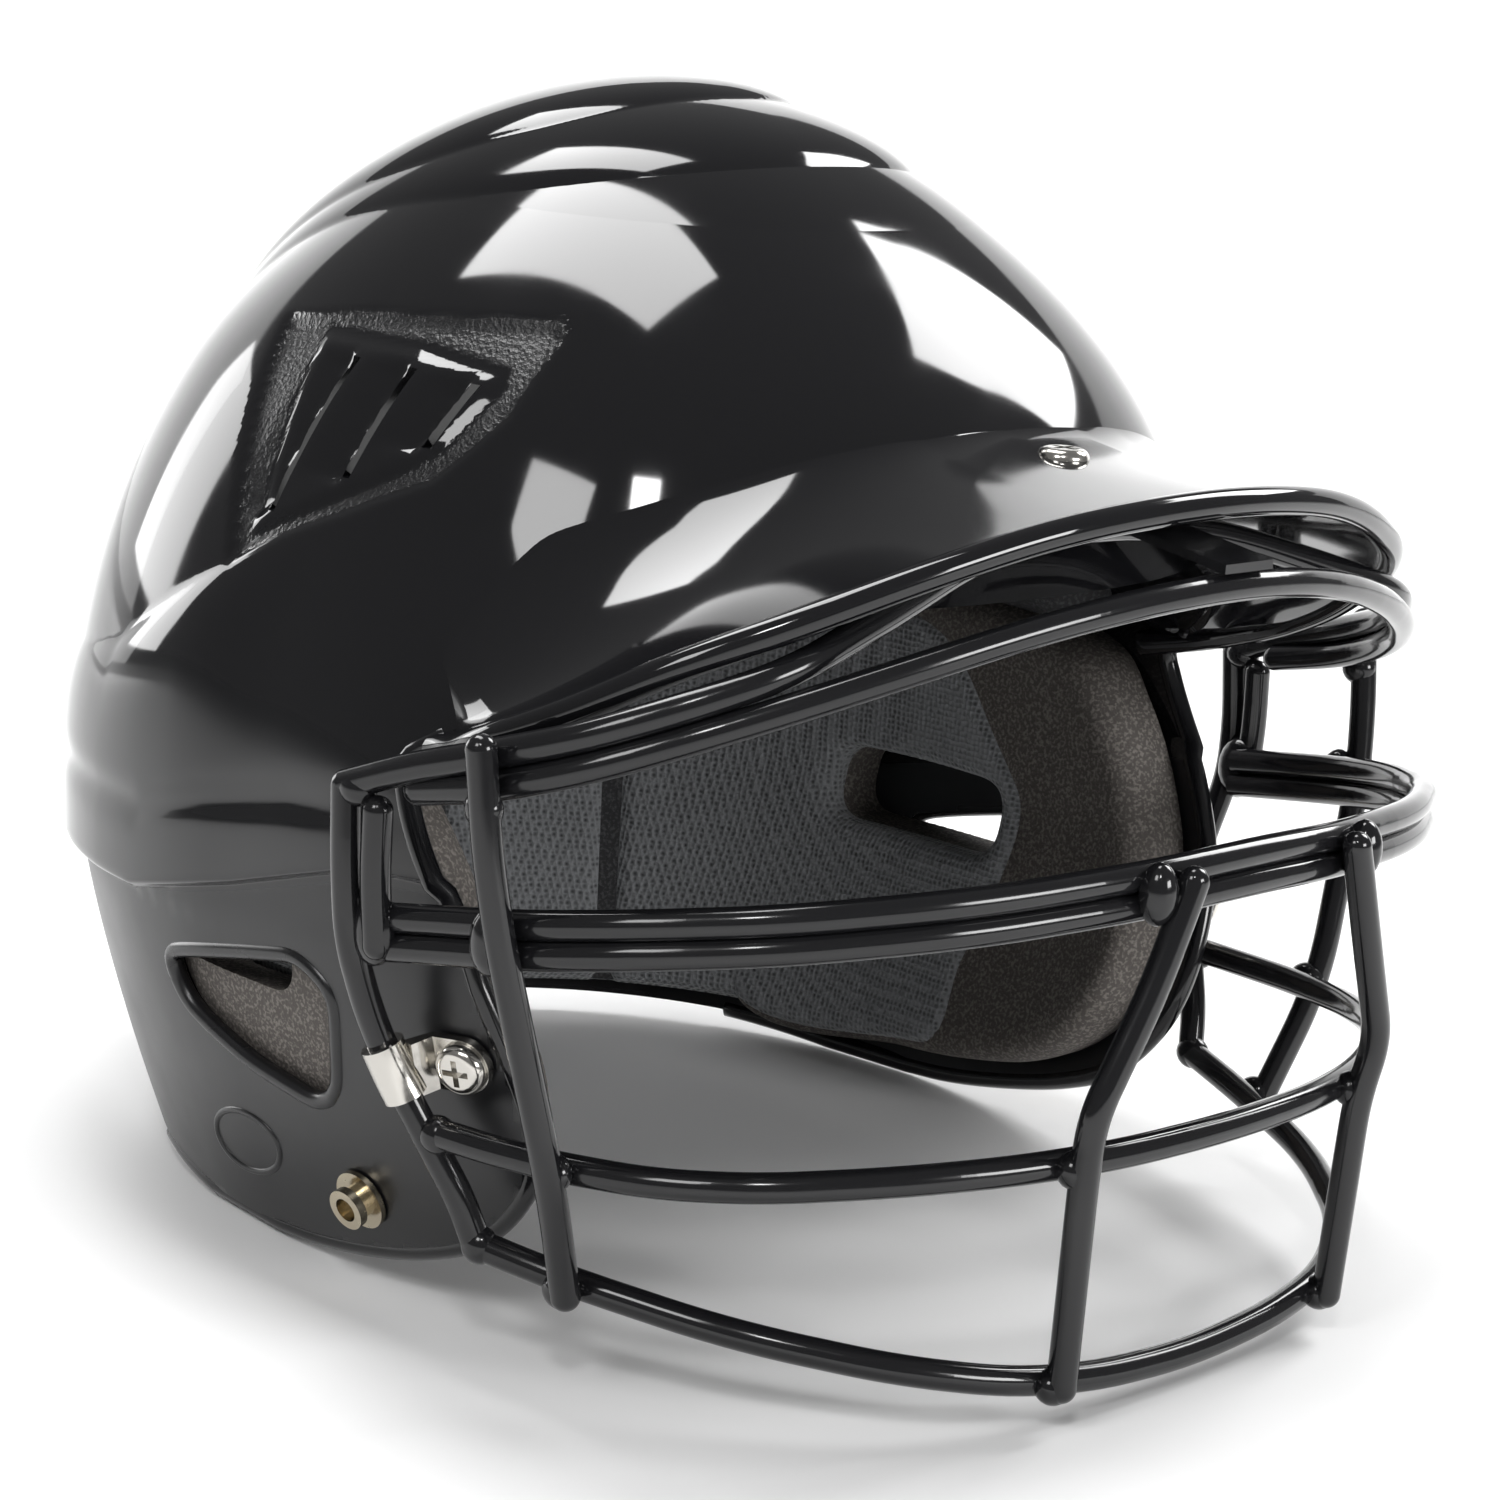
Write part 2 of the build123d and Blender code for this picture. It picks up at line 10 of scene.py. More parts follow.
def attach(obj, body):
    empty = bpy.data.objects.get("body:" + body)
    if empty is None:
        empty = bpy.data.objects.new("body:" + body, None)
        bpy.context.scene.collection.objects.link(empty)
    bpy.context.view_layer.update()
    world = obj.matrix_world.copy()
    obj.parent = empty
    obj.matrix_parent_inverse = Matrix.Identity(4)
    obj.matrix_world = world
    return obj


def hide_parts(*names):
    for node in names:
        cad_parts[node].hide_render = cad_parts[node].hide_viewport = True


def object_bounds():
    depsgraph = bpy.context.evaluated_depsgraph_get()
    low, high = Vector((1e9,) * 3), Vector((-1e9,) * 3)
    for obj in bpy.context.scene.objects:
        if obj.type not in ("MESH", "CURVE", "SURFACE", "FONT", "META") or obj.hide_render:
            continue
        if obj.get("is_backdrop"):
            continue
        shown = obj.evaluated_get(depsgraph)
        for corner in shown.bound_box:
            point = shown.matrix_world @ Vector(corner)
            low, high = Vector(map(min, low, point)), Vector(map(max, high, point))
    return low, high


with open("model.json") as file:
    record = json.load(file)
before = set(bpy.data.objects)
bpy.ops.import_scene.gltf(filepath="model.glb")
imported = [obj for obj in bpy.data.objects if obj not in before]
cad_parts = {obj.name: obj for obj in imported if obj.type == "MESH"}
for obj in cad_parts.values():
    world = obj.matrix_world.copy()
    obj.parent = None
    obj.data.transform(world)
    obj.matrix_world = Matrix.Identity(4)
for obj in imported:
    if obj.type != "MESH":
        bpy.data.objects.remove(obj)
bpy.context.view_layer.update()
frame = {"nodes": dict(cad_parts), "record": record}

# Millimetres here, as in the CAD source; MM turns them into metres.
MM = 0.001
HALF_WIDTH = 107.0
FRONT_REACH = 106.0
REAR_REACH = 115.0
DOME_RISE = 133.5
WIDEST_Z = 74.5
CENTRE_Y = 20.0
WALL = 3.2
LEDGE_Z = 64.0
LEDGE_FACTOR = 0.985
SKIRT_TAPER = 0.15
SKIRT_DEPTH = 58.0
SKIRT_POWER = 1.3
REAR_POWER = 2.05
LIP_RADIUS = 2.6
INSET = WALL + 0.3
END_DOME = 0.6
BILL_ABOVE, BILL_BELOW = 1.6, 1.4
END_SINK = 0.06

LEDGE_LINE = [(-120, 84), (-20, 78.5), (14, 68), (46, 60), (150, 56)]
FLAP_EDGE = [(-33, 104.5), (-26, 99), (-27.5, 93), (-31, 86), (-38, 75), (-44, 62), (-48, 49), (-49, 38)]
FLAP_EDGE += [(-47, 29), (-41, 20), (-33, 13), (-22, 8), (-8, 4), (8, 1), (20, 0)]
REAR_RIM = [(42, 0), (66, 2), (100, 3), (160, 3)]
BROW_LINE = [(-160, 128), (-62, 128), (-50, 120), (-42, 111)]
EAR_CORNERS = [(38, 50), (-3, 60), (-12, 55), (-9, 36), (-3, 31), (16, 34), (34, 41)]
VENT_SLOTS = [((16, 160), (20, 133)), ((2, 160), (5, 141)), ((-12, 159), (-9, 148))]
VENT_FRAME = [(43, 164), (20, 168), (-17, 171), (-20, 169), (-20, 155), (-16, 148), (-12, 143)]
VENT_FRAME += [(2.5, 136), (17, 129.5), (27, 123.5)]
VENT_PANEL = [(30, 164), (4, 164), (-14, 162), (-16, 158.6), (-11.5, 148), (-5, 143)]
VENT_PANEL += [(12.6, 133.5), (25, 127)]
LIP_HALF = [(0, -112.3, 150.5), (25, -110.3, 149), (42, -107, 146.2), (60, -101.4, 141), (80, -92, 133)]
LIP_HALF += [(94, -80, 125), (103, -64, 115), (106.5, -49, 108), (107, -36, 103.5), (104.5, -22, 100)]
ROOT_SHARE = [0.82, 0.82, 0.82, 0.82, 0.83, 0.85, 0.89, 0.92, 0.95, 0.97]
FLARE_RISE = [6, 7, 9, 12, 15, 16, 14, 11, 7, 4]
CREASE_LINE = [(10, 134), (17, 129.5), (35, 119), (60, 102.5), (90, 96), (150, 94)]
DIP_LINE = [(-30, 90), (0, 87), (23, 82), (43, 76), (150, 72)]
# Crown tiers: half width, front edge y, middle y, corner power, rise and fade of the edge.
CROWN_TIERS = [(56, -18, 44, 2.4, 2.7, 5.0), (48, 8, 58, 2.2, 2.5, 5.0)]
TIER_TAIL = 90.0
VENT_DEPTH = 1.3
PANEL_RISE = 0.9
FIN_DEPTH = 1.9
CROWN_DROP = 3.4
CREASE_SWELL = 2.2
DIP_DEPTH = 0.9
SLOT_WIDTH = 2.5


# ---- the shell's own surface ----
def front_power(z):
    share = np.clip((138.0 - z) / 45.0, 0, 1)
    return 2.3 + 1.3 * share * share * (3 - 2 * share)


def upper_factor(z, inset=0.0):
    share = np.clip((z - WIDEST_Z) / (DOME_RISE - inset), 0, 1)
    return np.sqrt(1 - share * share)


def lower_factor(z):
    depth = np.clip((LEDGE_Z - z) / SKIRT_DEPTH, 0, None)
    return LEDGE_FACTOR - SKIRT_TAPER * depth**SKIRT_POWER


def ring_points(angle, z, factor, inset=0.0):
    """Points on the shell's section at height z, seen from its centre at these angles."""
    angle, z, factor, inset = np.broadcast_arrays(angle, z, factor, inset)
    cosine, sine = np.cos(angle), np.sin(angle)
    front = sine < 0
    width = np.maximum(HALF_WIDTH * factor - inset, 0.05)
    reach = np.maximum(np.where(front, FRONT_REACH, REAR_REACH) * factor - inset, 0.05)
    power = np.where(front, front_power(z), REAR_POWER)
    total = np.abs(cosine / width) ** power + np.abs(sine / reach) ** power
    radius = total ** (-1 / power)
    return np.stack([cosine * radius, CENTRE_Y + sine * radius, z * 1.0], axis=-1)


def half_width(y, z, factor, inset, furthest=1.0):
    """Half width at y of the section at height z that has this size factor."""
    front = y < CENTRE_Y
    reach = np.where(front, FRONT_REACH, REAR_REACH) * factor - inset
    power = np.where(front, front_power(z), REAR_POWER)
    share = np.clip(np.abs(y - CENTRE_Y) / reach, 0, furthest)
    return (HALF_WIDTH * factor - inset) * (1 - share**power) ** (1 / power)


def flap_x(y, z, inset):
    """Half width of the skirt or dome side at y and z."""
    lower = z < np.interp(y, *zip(*LEDGE_LINE))
    return half_width(y, z, np.where(lower, lower_factor(z), upper_factor(z)), inset)


def skirt_x(y, z, inset):
    """Half width of the skirt's own surface, carried on above the ledge."""
    return half_width(y, z, lower_factor(z), inset, 0.999)


def front_y(x, z, inset=0.0):
    """Where the front of the dome stands at x and z."""
    factor = upper_factor(z)
    power = front_power(z)
    share = np.clip(np.abs(x) / (HALF_WIDTH * factor - inset), 0, 1)
    return CENTRE_Y - (FRONT_REACH * factor - inset) * (1 - share**power) ** (1 / power)


# ---- small helpers ----
def run_along(points):
    """Length along a polyline at each of its points."""
    steps = np.linalg.norm(np.diff(np.array(points, float), axis=0), axis=1)
    return np.concatenate([[0], np.cumsum(steps)])


def step(value, low, high):
    """Smooth rise from 0 to 1 as the value goes from low to high."""
    share = np.clip((value - low) / (high - low), 0, 1)
    return share * share * (3 - 2 * share)


def smooth(points, count, closed=False):
    """Evenly spaced points along a centripetal Catmull-Rom curve through the given ones."""
    p = np.array(points, float)
    if closed:
        p = np.vstack([p[-1], p, p[0], p[1]])
    else:
        p = np.vstack([2 * p[0] - p[1], p, 2 * p[-1] - p[-2]])
    out = []
    for a, b, c, d in zip(p, p[1:], p[2:], p[3:]):
        k1 = np.linalg.norm(b - a) ** 0.5
        k2 = k1 + np.linalg.norm(c - b) ** 0.5
        k3 = k2 + np.linalg.norm(d - c) ** 0.5
        for t in np.linspace(k1, k2, 24, endpoint=False):
            ab = a + (b - a) * t / k1
            bc = b + (c - b) * (t - k1) / (k2 - k1)
            cd = c + (d - c) * (t - k2) / (k3 - k2)
            left = ab + (bc - ab) * t / k2
            right = bc + (cd - bc) * (t - k1) / (k3 - k1)
            out.append(left + (right - left) * (t - k1) / (k2 - k1))
    out.append(p[-2])
    out = np.array(out)
    run = run_along(out)
    want = np.linspace(0, run[-1], count + 1 if closed else count)
    result = np.stack([np.interp(want, run, out[:, k]) for k in range(out.shape[1])], axis=-1)
    return result[:-1] if closed else result


def new_piece(name, verts, faces, material, slot, body="helmet", sharp=50):
    """Mesh from millimetre points, shaded smooth, riding on a CAD body."""
    mesh = bpy.data.meshes.new(name)
    mesh.from_pydata([tuple(v) for v in np.asarray(verts, float) * MM], [], faces)
    mesh.validate()
    mesh.materials.append(material)
    mesh.polygons.foreach_set("use_smooth", [True] * len(mesh.polygons))
    if sharp:
        mesh.set_sharp_from_angle(angle=math.radians(sharp))
    mesh.update()
    piece = bpy.data.objects.new(name, mesh)
    bpy.context.scene.collection.objects.link(piece)
    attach(piece, body)
    return piece


def grid_faces(rows, columns, wrap, first=0, flip=False):
    """Quads of a grid of vertices that starts at vertex first; wrap joins its last column."""
    faces = []
    for r in range(rows - 1):
        for c in range(columns if wrap else columns - 1):
            d = (c + 1) % columns
            face = [first + r * columns + c, first + r * columns + d]
            face += [first + (r + 1) * columns + d, first + (r + 1) * columns + c]
            faces.append(face[::-1] if flip else face)
    return faces


def tube_mesh(route, radius, sides, closed=False):
    """Vertices and faces of a round bead along a route, with domed ends if it is open."""
    route = np.asarray(route, float)
    count = len(route)
    ahead = np.roll(route, -1, 0) - np.roll(route, 1, 0)
    if not closed:
        ahead[0], ahead[-1] = route[1] - route[0], route[-1] - route[-2]
    ahead /= np.linalg.norm(ahead, axis=1, keepdims=True)
    normal = np.cross(ahead[0], [0.3, 0.5, 0.8])
    verts = []
    for k in range(count):
        normal = normal - ahead[k] * np.dot(normal, ahead[k])
        normal /= np.linalg.norm(normal)
        side = np.cross(ahead[k], normal)
        for j in range(sides):
            turn = 2 * math.pi * j / sides
            verts.append(route[k] + radius * (math.cos(turn) * normal + math.sin(turn) * side))
    faces = grid_faces(count, sides, True)
    if closed:
        # The last ring joins the first at the corner that lies nearest, so the bead isn't twisted.
        best = min(range(sides), key=lambda s: np.linalg.norm(verts[s] - verts[(count - 1) * sides]))
        last = (count - 1) * sides
        for j in range(sides):
            faces.append([last + j, last + (j + 1) % sides, (best + j + 1) % sides, (best + j) % sides])
    else:
        for ring, direction in ((0, -1), (count - 1, 1)):
            tip = len(verts)
            verts.append(route[ring] + direction * ahead[ring] * radius * END_DOME)
            for j in range(sides):
                face = [ring * sides + j, ring * sides + (j + 1) % sides, tip]
                faces.append(face if direction > 0 else face[::-1])
    return verts, faces


def inside_distance(y, z, outline):
    """Distance to a closed (y, z) outline, positive inside it."""
    corners = np.array(outline, float)
    best = np.full(np.shape(y), 1e9)
    inside = np.zeros(np.shape(y), bool)
    for a, b in zip(corners, np.roll(corners, -1, 0)):
        edge = b - a
        share = ((y - a[0]) * edge[0] + (z - a[1]) * edge[1]) / edge.dot(edge)
        share = np.clip(share, 0, 1)
        best = np.minimum(best, np.hypot(y - a[0] - share * edge[0], z - a[1] - share * edge[1]))
        crosses = (a[1] > z) != (b[1] > z)
        at = a[0] + (z - a[1]) * edge[0] / (edge[1] if edge[1] else 1e-9)
        inside ^= crosses & (y < at)
    return np.where(inside, best, -best)


# ---- materials ----
def node_material(name, colour, roughness, metallic=0.0):
    material = bpy.data.materials.new(name)
    material.use_nodes = True
    shader = material.node_tree.nodes["Principled BSDF"]
    shader.inputs["Base Color"].default_value = (*colour, 1)
    shader.inputs["Roughness"].default_value = roughness
    shader.inputs["Metallic"].default_value = metallic
    return material, material.node_tree.nodes, material.node_tree.links, shader


def noise(nodes, links, scale, detail=4.0, kind="ShaderNodeTexNoise"):
    where = nodes.new("ShaderNodeTexCoord")
    texture = nodes.new(kind)
    texture.inputs["Scale"].default_value = scale
    if "Detail" in texture.inputs:
        texture.inputs["Detail"].default_value = detail
    links.new(where.outputs["Object"], texture.inputs["Vector"])
    return texture


def spread(nodes, links, source, low, high, from_low=0.0, from_high=1.0):
    scale = nodes.new("ShaderNodeMapRange")
    scale.inputs["From Min"].default_value = from_low
    scale.inputs["From Max"].default_value = from_high
    scale.inputs["To Min"].default_value = low
    scale.inputs["To Max"].default_value = high
    links.new(source, scale.inputs["Value"])
    return scale.outputs["Result"]


def add_bump(nodes, links, shader, height, strength, distance):
    bump = nodes.new("ShaderNodeBump")
    bump.inputs["Strength"].default_value = strength
    bump.inputs["Distance"].default_value = distance
    links.new(height, bump.inputs["Height"])
    links.new(bump.outputs["Normal"], shader.inputs["Normal"])


def shell_material():
    """Polished black plastic that turns satin on the flap panels and leathery in the vent frame."""
    material, nodes, links, shader = node_material("shell_black", (0.006, 0.006, 0.007), 0.06)
    shader.inputs["Specular IOR Level"].default_value = 0.55
    satin = nodes.new("ShaderNodeAttribute")
    satin.attribute_name = "satin"
    grain = nodes.new("ShaderNodeAttribute")
    grain.attribute_name = "grain"
    wear = noise(nodes, links, 60.0, 6.0)
    polish = spread(nodes, links, wear.outputs["Fac"], 0.045, 0.085, 0.3, 0.7)
    dull = spread(nodes, links, wear.outputs["Fac"], 0.30, 0.36, 0.3, 0.7)
    first = nodes.new("ShaderNodeMix")
    links.new(satin.outputs["Fac"], first.inputs["Factor"])
    links.new(polish, first.inputs["A"])
    links.new(dull, first.inputs["B"])
    second = nodes.new("ShaderNodeMix")
    links.new(grain.outputs["Fac"], second.inputs["Factor"])
    links.new(first.outputs["Result"], second.inputs["A"])
    second.inputs["B"].default_value = 0.34
    links.new(second.outputs["Result"], shader.inputs["Roughness"])
    leather = noise(nodes, links, 900.0, 3.0, "ShaderNodeTexVoronoi")
    masked = nodes.new("ShaderNodeMath")
    masked.operation = "MULTIPLY"
    links.new(leather.outputs["Distance"], masked.inputs[0])
    links.new(grain.outputs["Fac"], masked.inputs[1])
    add_bump(nodes, links, shader, masked.outputs["Value"], 0.4, 0.0005)
    return material


def coated_material():
    material, nodes, links, shader = node_material("wire_vinyl", (0.008, 0.008, 0.009), 0.12)
    flow = noise(nodes, links, 45.0, 2.0)
    gloss = spread(nodes, links, flow.outputs["Fac"], 0.09, 0.17, 0.3, 0.7)
    links.new(gloss, shader.inputs["Roughness"])
    add_bump(nodes, links, shader, flow.outputs["Fac"], 0.25, 0.0008)
    return material


def foam_material(name, colour, speck):
    material, nodes, links, shader = node_material(name, colour, 0.85)
    fine = noise(nodes, links, 1400.0, 3.0)
    mix = nodes.new("ShaderNodeMix")
    mix.data_type = "RGBA"
    mix.inputs["A"].default_value = (*colour, 1)
    mix.inputs["B"].default_value = (*speck, 1)
    links.new(spread(nodes, links, fine.outputs["Fac"], 0, 1, 0.48, 0.62), mix.inputs["Factor"])
    links.new(mix.outputs["Result"], shader.inputs["Base Color"])
    add_bump(nodes, links, shader, fine.outputs["Fac"], 0.5, 0.0006)
    return material


def knit_material():
    """Grey knitted mesh: rows of small dark eyelets over a soft thread."""
    material, nodes, links, shader = node_material("mesh_knit", (0.10, 0.105, 0.11), 0.9)
    shader.inputs["Sheen Weight"].default_value = 0.25
    eyelets = noise(nodes, links, 850.0, 0.0, "ShaderNodeTexVoronoi")
    eyelets.inputs["Randomness"].default_value = 0.25
    mix = nodes.new("ShaderNodeMix")
    mix.data_type = "RGBA"
    mix.inputs["A"].default_value = (0.07, 0.073, 0.077, 1)
    mix.inputs["B"].default_value = (0.24, 0.248, 0.256, 1)
    links.new(spread(nodes, links, eyelets.outputs["Distance"], 0, 1, 0.1, 0.5), mix.inputs["Factor"])
    links.new(mix.outputs["Result"], shader.inputs["Base Color"])
    add_bump(nodes, links, shader, eyelets.outputs["Distance"], 0.9, 0.0008)
    return material


def metal_material(name, colour, roughness):
    material, nodes, links, shader = node_material(name, colour, roughness, 1.0)
    brushed = noise(nodes, links, 700.0, 3.0)
    low, high = roughness * 0.8, roughness * 1.4
    gloss = spread(nodes, links, brushed.outputs["Fac"], low, high, 0.3, 0.7)
    links.new(gloss, shader.inputs["Roughness"])
    add_bump(nodes, links, shader, brushed.outputs["Fac"], 0.08, 0.0002)
    return material


black = shell_material()
vinyl = coated_material()
ear_foam = foam_material("ear_foam", (0.085, 0.076, 0.069), (0.19, 0.172, 0.156))
liner_foam = foam_material("liner_foam", (0.03, 0.03, 0.032), (0.07, 0.07, 0.073))
knit = knit_material()
nickel = metal_material("nickel_plate", (0.62, 0.60, 0.56), 0.16)
warm_nickel = metal_material("snap_plate", (0.60, 0.53, 0.40), 0.2)

BY_SLOT = {"vinyl_wire": vinyl, "nickel": nickel, "snap_nickel": warm_nickel, "strap_steel": vinyl}
BY_SLOT.update({"screw_black": nickel, "ear_foam": ear_foam, "liner_foam": liner_foam})
BY_SLOT.update({"mesh_fabric": knit, "shell": black})
for part in frame["record"]["subparts"]:
    node = frame["nodes"][part["node"]]
    node.data.materials.clear()
    node.data.materials.append(BY_SLOT[part["material_slot"]])


# ---- shell ----
AROUND = 480
LOWER_ROWS = 44
STEP_ROWS = 6
UPPER_ROWS = 190
STEP_HEIGHT = 1.6


def shell_grid():
    """Base points of the outer surface as rows from below the rim to just short of the crown."""
    angle = np.linspace(0, 2 * math.pi, AROUND, endpoint=False)
    at_ledge = ring_points(angle, 70.0, 1.0)
    ledge = np.interp(at_ledge[:, 1], *zip(*LEDGE_LINE))
    rows = []
    for share in np.linspace(0, 1, LOWER_ROWS):
        z = -3 + (ledge + 3) * share
        rows.append(ring_points(angle, z, lower_factor(z)))
    for share in np.linspace(0, 1, STEP_ROWS + 2)[1:-1]:
        factor = LEDGE_FACTOR + (1 - LEDGE_FACTOR) * share * share * (3 - 2 * share)
        z = ledge + STEP_HEIGHT * share
        rows.append(ring_points(angle, z, factor))
    start = ledge + STEP_HEIGHT
    arc = DOME_RISE * math.radians(89.2)
    for share in np.linspace(0, 1, UPPER_ROWS):
        along = start - WIDEST_Z + (arc - (start - WIDEST_Z)) * share
        turn = np.clip(along / DOME_RISE, 0, None)
        z = np.where(along < 0, WIDEST_Z + along, WIDEST_Z + DOME_RISE * np.sin(turn))
        rows.append(ring_points(angle, z, np.where(along < 0, 1.0, np.cos(turn))))
    return np.array(rows)


def grid_normals(points):
    across = np.roll(points, -1, 1) - np.roll(points, 1, 1)
    upward = np.gradient(points, axis=0)
    normals = np.cross(across, upward)
    return normals / np.linalg.norm(normals, axis=2, keepdims=True)


def relief(points):
    """Outward movement of the surface: crown tiers, side vents and the crease behind them."""
    x, y, z = np.abs(points[..., 0]), points[..., 1], points[..., 2]
    out = np.zeros(x.shape)
    for width, front, middle, power, rise, fade in CROWN_TIERS:
        ahead = np.clip((middle - y) / (middle - front), 0, None)
        behind = np.clip((y - middle) / TIER_TAIL, 0, None)
        size = ((x / width) ** power + ahead**power + behind**power) ** (1 / power)
        depth = np.clip((1 - size) * width, 0, None)
        out += np.where(z > 120, rise * (1 - np.exp(-depth / fade)), 0)
    out -= CROWN_DROP * step(z, 150, 196)
    frame_in = inside_distance(y, z, VENT_FRAME)
    panel_in = inside_distance(y, z, VENT_PANEL)
    high = (z > 110) & (x > 40)
    out -= np.where(high, VENT_DEPTH * step(frame_in, -1.2, 1.6), 0)
    out += np.where(high, PANEL_RISE * step(panel_in, -0.5, 3.0), 0)
    for (top_y, top_z), (low_y, low_z) in VENT_SLOTS:
        slot_y = top_y + (low_y - top_y) * (top_z - z) / (top_z - low_z)
        within = step(z, low_z - 2, low_z + 1) * (1 - step(z, top_z - 1, top_z + 2))
        behind = y - slot_y - SLOT_WIDTH
        fin = np.clip(1 - behind / 10, 0, 1) * step(behind, -0.7, 0.7)
        out -= np.where(high, FIN_DEPTH * fin * within, 0)
    crease_z = np.interp(y, *zip(*CREASE_LINE))
    below = np.clip(crease_z - z, 0, None)
    swell = CREASE_SWELL * (1 - np.exp(-below / 7.0)) * np.exp(-((below / 40.0) ** 2))
    out += np.where(z > 60, swell * step(y, 6, 34), 0)
    dip_z = np.interp(y, *zip(*DIP_LINE))
    dip = DIP_DEPTH * np.exp(-(((z - dip_z) / 3.2) ** 2)) * step(y, -34, 4)
    return out - dip


def add_attribute(piece, name, values):
    """Gives each vertex a number that the shell's material reads."""
    layer = piece.data.attributes.new(name, "FLOAT", "POINT")
    layer.data.foreach_set("value", np.asarray(values, np.float32))


def prism(outline, low_x, high_x):
    """Closed prism along X from a (y, z) outline, as vertices and faces."""
    count = len(outline)
    verts = [(low_x, y, z) for y, z in outline] + [(high_x, y, z) for y, z in outline]
    faces = [list(range(count)), list(range(2 * count - 1, count - 1, -1))]
    for k in range(count):
        n = (k + 1) % count
        faces.append([k, k + count, n + count, n])
    return verts, faces


def face_outwards(mesh):
    work = bmesh.new()
    work.from_mesh(mesh)
    bmesh.ops.recalc_face_normals(work, faces=work.faces)
    work.to_mesh(mesh)
    work.free()


def cutter_object(name, verts, faces):
    mesh = bpy.data.meshes.new(name)
    mesh.from_pydata([tuple(np.array(v) * MM) for v in verts], [], faces)
    face_outwards(mesh)
    cutter = bpy.data.objects.new(name, mesh)
    bpy.context.scene.collection.objects.link(cutter)
    for polygon in cutter.data.polygons:
        polygon.use_smooth = True
    return cutter


def bake(piece):
    """Applies a piece's modifiers to its mesh."""
    graph = bpy.context.evaluated_depsgraph_get()
    mesh = bpy.data.meshes.new_from_object(piece.evaluated_get(graph), depsgraph=graph)
    piece.modifiers.clear()
    piece.data = mesh


def cut(piece, cutter):
    """Takes the cutter's volume out of the piece, and removes the cutter."""
    modifier = piece.modifiers.new("cut", "BOOLEAN")
    modifier.operation = "DIFFERENCE"
    modifier.solver = "MANIFOLD"
    modifier.object = cutter
    bake(piece)
    bpy.data.objects.remove(cutter)


def rounded(outline, radius, count=8):
    """Outline whose corners are replaced by smooth turns."""
    corners = np.array(outline, float)
    points = []
    for before, here, after in zip(np.roll(corners, 1, 0), corners, np.roll(corners, -1, 0)):
        start = here + (before - here) / np.linalg.norm(before - here) * radius
        end = here + (after - here) / np.linalg.norm(after - here) * radius
        for t in np.linspace(0, 1, count):
            points.append((1 - t) ** 2 * start + 2 * t * (1 - t) * here + t * t * end)
    return np.array(points)


EAR_OUTLINE = rounded(EAR_CORNERS, 4.5)
FLAP_CURVE = smooth(FLAP_EDGE, 70)


def make_shell():
    """The moulding: outer and inner skins, then its rim, ear openings and vent slots cut out."""
    base = shell_grid()
    rows, columns = base.shape[:2]
    normals = grid_normals(base)
    outer = base + normals * relief(base)[..., None]
    inner = base - normals * WALL
    verts = np.vstack([outer.reshape(-1, 3), inner.reshape(-1, 3)])
    first = rows * columns
    faces = grid_faces(rows, columns, True)
    faces += grid_faces(rows, columns, True, first, flip=True)
    for c in range(columns):
        d = (c + 1) % columns
        faces.append([d, c, first + c, first + d])
    top, top_inner = len(verts), len(verts) + 1
    apex = outer[-1].mean(0)
    verts = np.vstack([verts, apex, apex - [0, 0, WALL]])
    last = (rows - 1) * columns
    for c in range(columns):
        d = (c + 1) % columns
        faces.append([last + c, last + d, top])
        faces.append([first + last + d, first + last + c, top_inner])
    piece = new_piece("shell_moulding", verts, faces, black, "shell", sharp=0)
    y, z = verts[:, 1], verts[:, 2]
    ledge = np.interp(y, *zip(*LEDGE_LINE))
    satin = step(ledge - z, -0.5, 0.5)
    frame_in = inside_distance(y, z, VENT_FRAME)
    panel_in = inside_distance(y, z, VENT_PANEL)
    grain = step(frame_in, 0, 1) * (1 - step(panel_in, -0.5, 0.5)) * (np.abs(verts[:, 0]) > 40)
    add_attribute(piece, "satin", satin)
    add_attribute(piece, "grain", grain)
    opening = BROW_LINE + [tuple(p) for p in FLAP_CURVE] + REAR_RIM + [(160, -30), (-160, -30)]
    parts = [prism(opening, -200, 200), prism([tuple(p) for p in EAR_OUTLINE], -180, 180)]
    for (top_y, top_z), (low_y, low_z) in VENT_SLOTS:
        corners = [(top_y, top_z), (top_y + SLOT_WIDTH, top_z)]
        corners += [(low_y + SLOT_WIDTH, low_z), (low_y, low_z)]
        parts.append(prism(corners, 50, 180))
        parts.append(prism(corners, -180, -50))
    face_outwards(piece.data)
    for part_verts, part_faces in parts:
        cut(piece, cutter_object("cutter", part_verts, part_faces))
    piece.data.polygons.foreach_set("use_smooth", [True] * len(piece.data.polygons))
    piece.data.set_sharp_from_angle(angle=math.radians(38))
    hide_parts("shell")


def mirrored(half):
    return [(-x, y, z) for x, y, z in reversed(half) if x > 0] + list(half)


